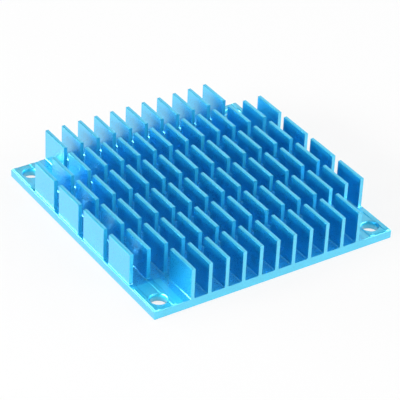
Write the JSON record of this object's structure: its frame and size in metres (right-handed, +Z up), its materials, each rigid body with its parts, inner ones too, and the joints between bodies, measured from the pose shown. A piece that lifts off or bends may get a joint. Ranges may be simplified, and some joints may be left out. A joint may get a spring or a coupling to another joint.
{
  "type": "pin fin heat sink",
  "caption": "Flat, nearly square aluminium heat sink: upright plate pins in rows on a thin base, with the corners cleared for mounting holes.",
  "frame": {"origin": "middle of the underside of the base, which lies on what it cools", "axes": "+Z up out of the base along the height of the pins, +X across the fin plates, +Y along them"},
  "size_m": [0.06, 0.061, 0.0095],
  "materials": {
    "anodised_aluminium": "bright blue anodised, satin, with fine extrusion lines and bright sawn and milled edges"
  },
  "bodies": {
    "root": {"heat_sink": "anodised_aluminium"}
  },
  "joints": []
}
